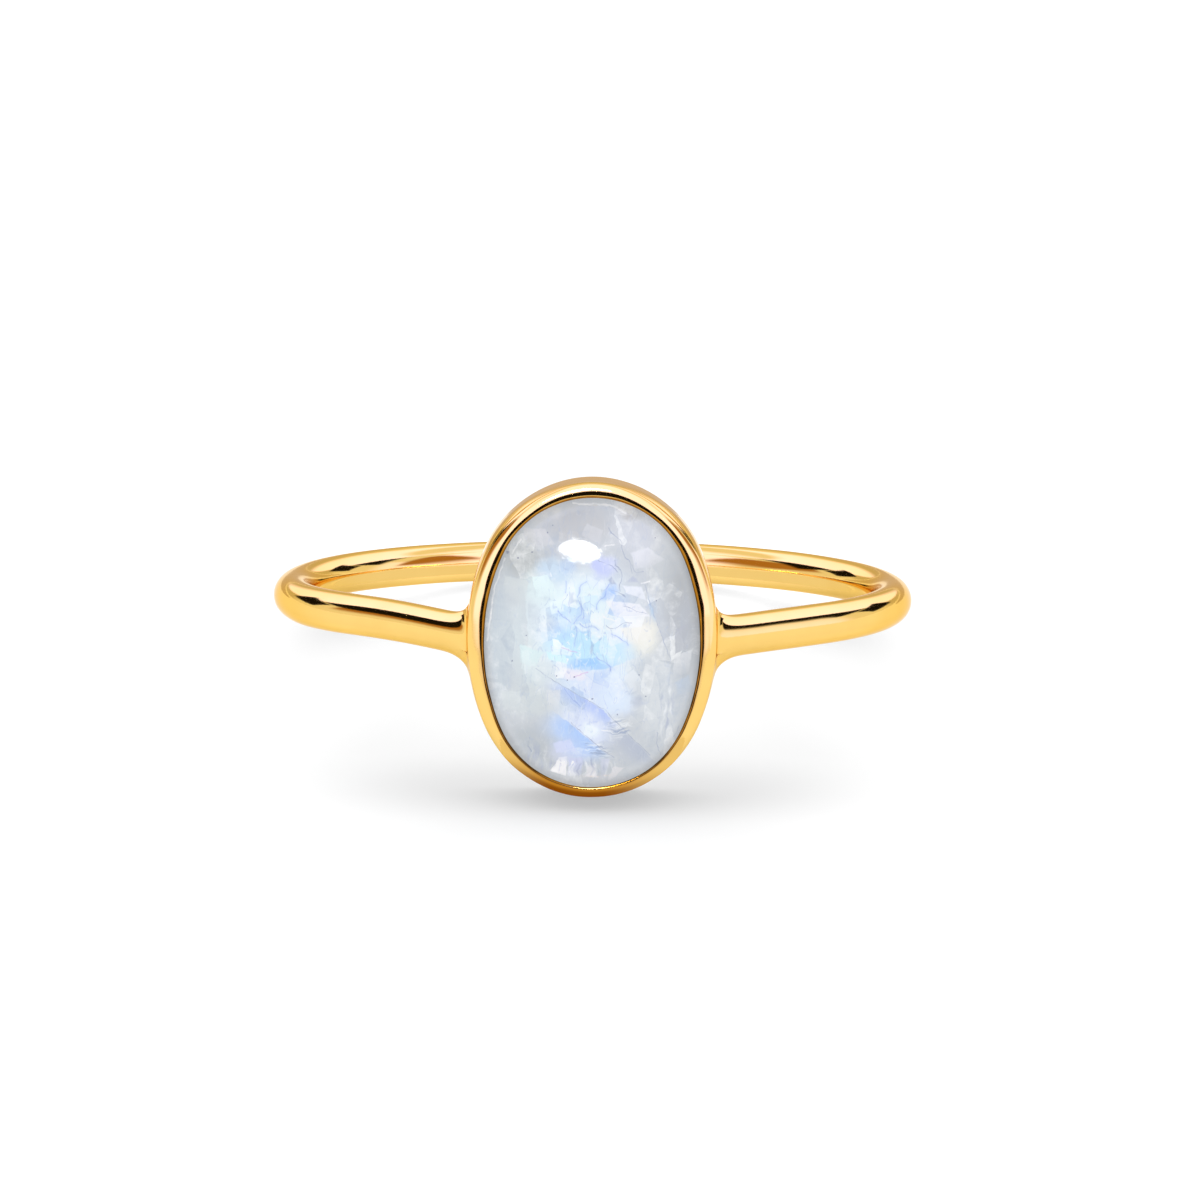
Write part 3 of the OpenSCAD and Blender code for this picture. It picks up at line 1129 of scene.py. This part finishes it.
def add_panels(make, tone):
    """Angular panels between the fracture planes: random ones, then those of the photograph. Also
    gives the coordinates of the small ones."""
    broad = make.cells(make.stretched(make.bent, 0.9, 0.54, 25))
    panels = make.stretched(make.shaken, 2.3, 1.265, -35)
    small = make.cells(panels)
    level = (broad - 0.5) * 0.16 + (small - 0.5) * (0.1 + 0.24 * make.middle)
    level = level + (make.fine - 0.5) * 0.25
    tone = make.blend(level.rise(0.0, 0.2, 0.8), tone, looks(250, 252, 254))
    dim = make.blend(make.middle.rise(0.2, 0.9), looks(172, 184, 200), looks(176, 205, 249))
    tone = make.blend(level.rise(0.0, -0.25, 0.8), tone, dim)
    clear = (0.2 + 1.6 * make.fine).held()
    for corners, soft, colour, strength in FACETS:
        patch = make.facet(make.shaken, corners, soft, strength) * clear
        tone = make.blend(patch, tone, looks(*colour))
    return tone, panels


def add_strokes(make, tone):
    """Fine strokes beside the veils, and upright ones low in the stone and near its edge."""
    strokes = make.noise(make.stretched(make.bent, 1.5, 16, 12), 1.0, 2.0) - 0.5
    places = make.spot(make.flat, 618, 728, 0.6, 0.5)
    places = places + make.spot(make.flat, 598, 750, 0.8, 0.35, -30)
    strokes = strokes * places
    tone = make.blend(strokes.rise(0.0, 0.12, 0.7), tone, looks(244, 248, 252))
    tone = make.blend(strokes.rise(0.0, -0.12, 0.7), tone, looks(150, 166, 196))
    strokes = make.noise(make.stretched(make.bent, 7.5, 1.6, -8), 1.0, 3.0) - 0.5
    places = make.spot(make.flat, 583, 768, 1.5, 0.5, 0, 0.3)
    places = places + make.spot(make.flat, 666, 712, 0.5, 1.6, -8, 0.0, 0.8)
    places = places + make.spot(make.flat, 535, 755, 0.8, 0.9, 30, 0.0, 0.8)
    strokes = strokes * places
    tone = make.blend(strokes.rise(0.0, 0.16, 0.6), tone, looks(246, 248, 252))
    return make.blend(strokes.rise(0.0, -0.16, 0.6), tone, looks(170, 178, 204))


def add_crackle(make, tone, panels):
    """Fine crackle along the small panels' edges, and dark and pale wisps, broken up by cloud."""
    crackle = make.cell_edges(panels).rise(0.035, 0.0) * make.patchy.rise(0.52, 0.62)
    crackle = crackle * (0.15 + 0.6 * make.middle)
    tone = make.blend(crackle * 0.5, tone, looks(166, 188, 224))
    for scale, stretch, lean, level in WISPS:
        broken = (make.patchy - level).size().rise(0.05, 0.01)
        wisp = make.wisps(make.shaken, scale, stretch, lean, 0.012) * broken
        tone = make.blend(wisp * (0.12 + 0.4 * make.middle), tone, looks(158, 178, 216))
        broken = (make.patchy - level - 0.06).size().rise(0.05, 0.0)
        wisp = make.wisps(make.shaken, scale * 1.4, stretch, lean + 90, 0.02) * broken
        tone = make.blend(wisp * (0.08 + 0.3 * make.middle), tone, looks(252, 254, 255))
    return tone


def add_cracks(make, tone):
    """Cracks that grow fainter and stronger along their way, the blue ones in a pale haze. Some of
    the pale lines are painted reflections of the rim.
    """
    near = make.lines(make.crooked, BLUE_CRACKS)
    tone = make.blend(near.rise(0.13, 0.0, 0.3), tone, looks(196, 216, 252))
    crack = near.rise(0.026, 0.006) * (make.fine - 0.2) * 1.5
    tone = make.blend(crack, tone, looks(146, 168, 224))
    crack = make.lines(make.crooked, GREY_CRACKS).rise(0.024, 0.005) * (make.fine - 0.3) * 1.7
    tone = make.blend(crack, tone, looks(136, 150, 182))
    crack = make.lines(make.shaken, STRAIGHT_CRACKS).rise(0.022, 0.004) * (make.fine - 0.3) * 1.8
    tone = make.blend(crack, tone, looks(140, 154, 190))
    # Pale cracks, and painted reflections of the rim
    crack = make.lines(make.shaken, PALE_CRACKS_AND_REFLECTIONS).rise(0.04, 0.0) * (make.fine - 0.1) * 1.6
    return make.blend(crack, tone, looks(250, 250, 252))


def add_specks(make, tone):
    """Sparkling flecks low in the stone and in its middle, pink lines and dark specks."""
    sparkle = make.spot(make.flat, 575, 762, 1.0, 0.6)
    sparkle = sparkle + make.spot(make.flat, 580, 640, 1.5, 1.2, 0, 0.0, 0.6)
    tone = make.blend(make.fine.rise(0.62, 0.66) * sparkle, tone, looks(255, 255, 255))
    near = make.lines(make.shaken, PINK_LINES)
    tone = make.blend(near.rise(0.024, 0.008, 0.5), tone, looks(216, 182, 222))
    nearest = None
    for (column, row), radius in SPECKS:
        away = make.vector("DISTANCE", make.shaken, on_stone(column, row), output="Value") / radius
        nearest = away if nearest is None else nearest.least(away)
    return make.blend(nearest.rise(0.9, 0.4, 0.7), tone, looks(104, 112, 146))


def add_edge_light(make, tone):
    """Light that gathers along the edge, under the lip."""
    half_size = (HALF_WIDTH + STONE_OUT, HALF_HEIGHT + STONE_OUT, 1)
    at_edge = make.off_middle(make.flat, MARKS_MIDDLE, half_size).rise(0.87, 1.0, 0.17)
    return make.blend(at_edge, tone, (1, 1, 1), "ADD")


def moonstone():
    """Milky stone with a blue sheen, fracture planes, panels, cracks and specks."""
    material = bpy.data.materials.new("moonstone")
    material.use_nodes = True
    material.cycles.emission_sampling = "NONE"
    make = StoneRecipe(material.node_tree)
    make.lay_out()
    tone = deep_colour(make)
    tone = add_sheen(make, tone)
    tone = add_planes(make, tone)
    tone, panels = add_panels(make, tone)
    tone = add_strokes(make, tone)
    tone = add_crackle(make, tone, panels)
    tone = add_cracks(make, tone)
    tone = add_specks(make, tone)
    tone = add_edge_light(make, tone)
    bump = make.node("ShaderNodeBump", None, {
        "Strength": 0.15, "Distance": 0.00003, "Height": make.fine})
    shader = make.node("ShaderNodeBsdfPrincipled", None, {
        "Base Color": tone, "Roughness": 0.04, "IOR": 1.52, "Specular IOR Level": 0.18,
        "Emission Color": tone, "Emission Strength": STONE_GLOW, "Normal": bump})
    make.node("ShaderNodeOutputMaterial", None, {"Surface": shader})
    return material


set_camera()
light_studio()
lay_floor()
lay_cards()
make_band_and_bezel()
make_stone()
